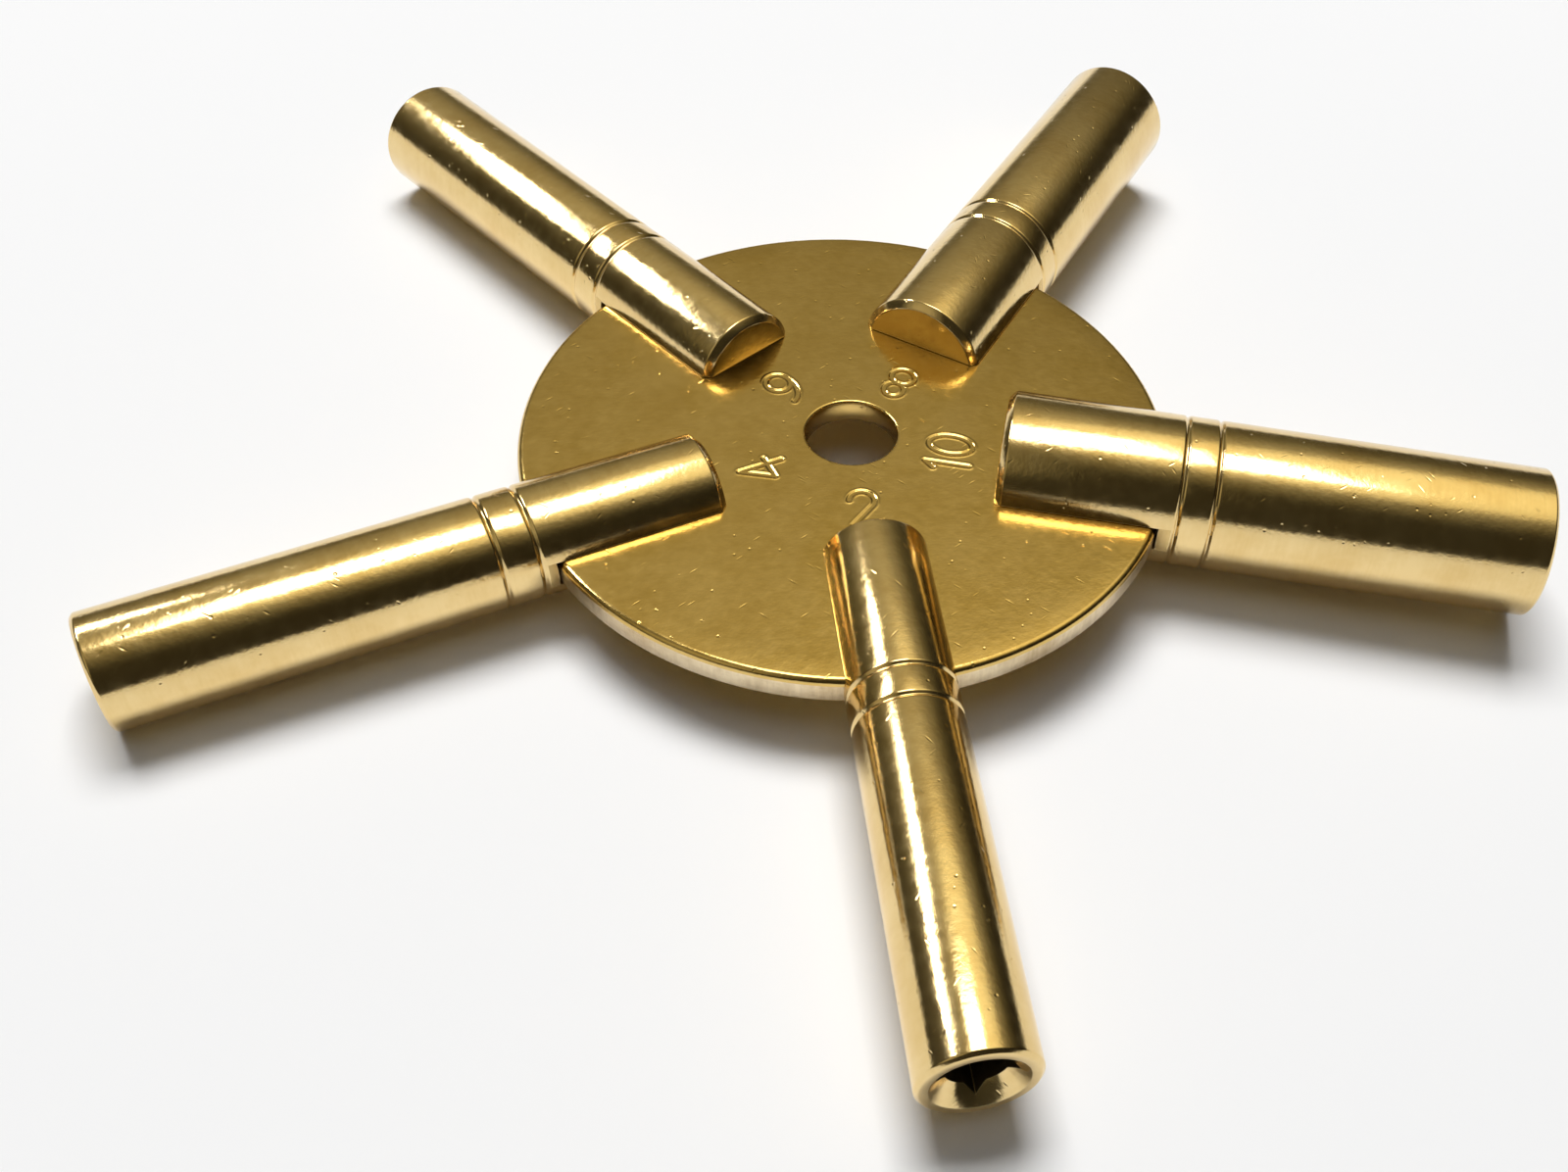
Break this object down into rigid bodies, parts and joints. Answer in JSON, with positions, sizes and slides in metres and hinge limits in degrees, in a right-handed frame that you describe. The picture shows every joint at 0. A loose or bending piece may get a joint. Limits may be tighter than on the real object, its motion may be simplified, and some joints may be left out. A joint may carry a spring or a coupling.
{
  "type": "clock key",
  "caption": "Brass star key for winding clocks: a round disc carries radial turned barrels, each with a square socket of its own size.",
  "frame": {"origin": "middle of the disc's hole, halfway through the disc's thickness", "axes": "+Z along the hole, square to the disc, towards the stamped side; the barrel of key number 2 points along -Y"},
  "size_m": [0.081, 0.0771, 0.009],
  "materials": {
    "disc_brass": "polished, lightly scratched",
    "barrel_brass": "polished, turned"
  },
  "bodies": {
    "root": {"disc": "disc_brass", "barrel_2": "barrel_brass", "barrel_4": "barrel_brass", "barrel_6": "barrel_brass", "barrel_8": "barrel_brass", "barrel_10": "barrel_brass"}
  },
  "joints": []
}
